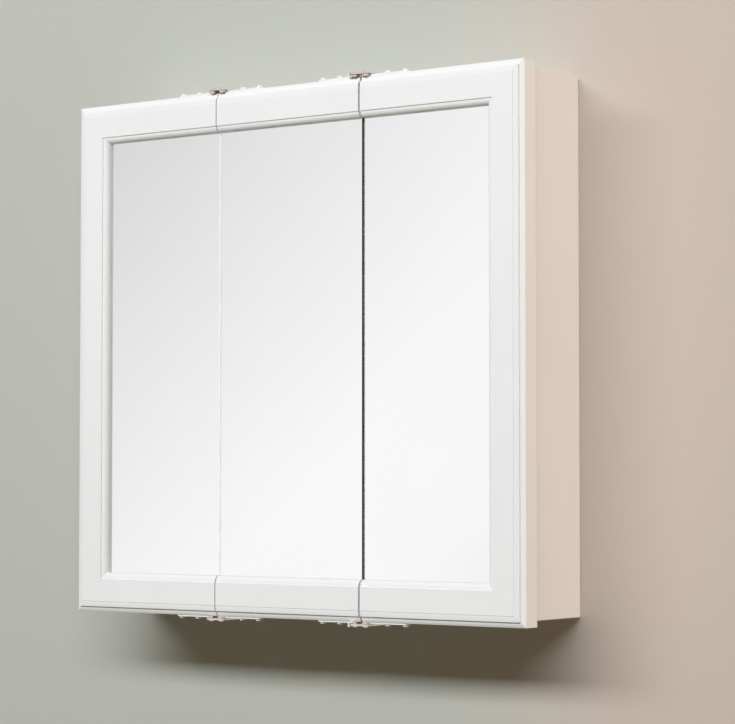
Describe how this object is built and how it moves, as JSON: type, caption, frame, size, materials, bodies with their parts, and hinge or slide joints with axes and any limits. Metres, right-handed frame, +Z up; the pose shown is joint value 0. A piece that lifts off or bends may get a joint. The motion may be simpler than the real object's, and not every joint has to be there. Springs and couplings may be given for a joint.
{
  "type": "medicine cabinet",
  "caption": "Wall-hung bathroom cabinet whose moulded frame is split into mirrored doors that swing on knife pivots at the seams, over a shallow shelved case.",
  "frame": {"origin": "centre of the back face, which lies against the wall", "axes": "+X to the viewer's right, -Y out of the mirrored front, +Z up"},
  "size_m": [0.64, 0.1274, 0.622],
  "materials": {
    "frame_paint": "white semi-gloss paint on moulded wood",
    "case_paint": "white satin paint on board",
    "hardboard": "white-faced hardboard",
    "bare_wood": "bare beech",
    "mirror": "silvered float glass",
    "white_steel": "white enamelled steel",
    "white_screws": "white enamelled screws",
    "zinc_steel": "zinc-plated steel",
    "nylon": "natural nylon",
    "bumper_rubber": "soft clear-white rubber",
    "catch_plastic": "moulded white plastic",
    "magnet": "ferrite"
  },
  "bodies": {
    "case": {"back_panel": "hardboard", "bottom_panel": "case_paint", "case_dowels": "bare_wood", "catch_housings": "catch_plastic", "catch_magnets": "magnet", "catch_screws": "zinc_steel", "door_bumpers": "bumper_rubber", "hinge_bracket_screws": "zinc_steel", "hinge_pins": "zinc_steel", "keeper_pins": "zinc_steel", "left_side_panel": "case_paint", "lower_hanging_rail": "case_paint", "lower_left_hinge_bracket": "zinc_steel", "lower_right_hinge_bracket": "zinc_steel", "lower_shelf": "case_paint", "pivot_washers": "nylon", "right_side_panel": "case_paint", "shelf_pins": "zinc_steel", "top_panel": "case_paint", "upper_hanging_rail": "case_paint", "upper_left_hinge_bracket": "zinc_steel", "upper_right_hinge_bracket": "zinc_steel", "upper_shelf": "case_paint"},
    "left_door": {"left_door_backing": "hardboard", "left_door_bottom_rail": "frame_paint", "left_door_leaf_screws": "white_screws", "left_door_lower_leaf": "white_steel", "left_door_mirror": "mirror", "left_door_outer_stile": "frame_paint", "left_door_seam_stile": "frame_paint", "left_door_strike_plate": "zinc_steel", "left_door_strike_screw": "zinc_steel", "left_door_top_rail": "frame_paint", "left_door_upper_leaf": "white_steel"},
    "centre_door": {"centre_door_backing": "hardboard", "centre_door_bottom_rail": "frame_paint", "centre_door_leaf_screws": "white_screws", "centre_door_left_stile": "frame_paint", "centre_door_lower_hinge_leaf": "white_steel", "centre_door_lower_keeper_leaf": "white_steel", "centre_door_mirror": "mirror", "centre_door_right_stile": "frame_paint", "centre_door_strike_plate": "zinc_steel", "centre_door_strike_screw": "zinc_steel", "centre_door_top_rail": "frame_paint", "centre_door_upper_hinge_leaf": "white_steel", "centre_door_upper_keeper_leaf": "white_steel"},
    "right_door": {"right_door_backing": "hardboard", "right_door_bottom_rail": "frame_paint", "right_door_leaf_screws": "white_screws", "right_door_lower_leaf": "white_steel", "right_door_mirror": "mirror", "right_door_outer_stile": "frame_paint", "right_door_seam_stile": "frame_paint", "right_door_strike_plate": "zinc_steel", "right_door_strike_screw": "zinc_steel", "right_door_top_rail": "frame_paint", "right_door_upper_leaf": "white_steel"}
  },
  "joints": [
    {"name": "left_door_hinge", "type": "hinge", "parent": "case", "child": "left_door", "pos_m": [-0.1103, -0.1234, 0], "axis": [0, 0, 1], "range_deg": [0, 90]},
    {"name": "centre_door_hinge", "type": "hinge", "parent": "case", "child": "centre_door", "pos_m": [-0.0963, -0.1234, 0], "axis": [0, 0, -1], "range_deg": [0, 90]},
    {"name": "right_door_hinge", "type": "hinge", "parent": "case", "child": "right_door", "pos_m": [0.1103, -0.1234, 0], "axis": [0, 0, -1], "range_deg": [0, 90]}
  ]
}
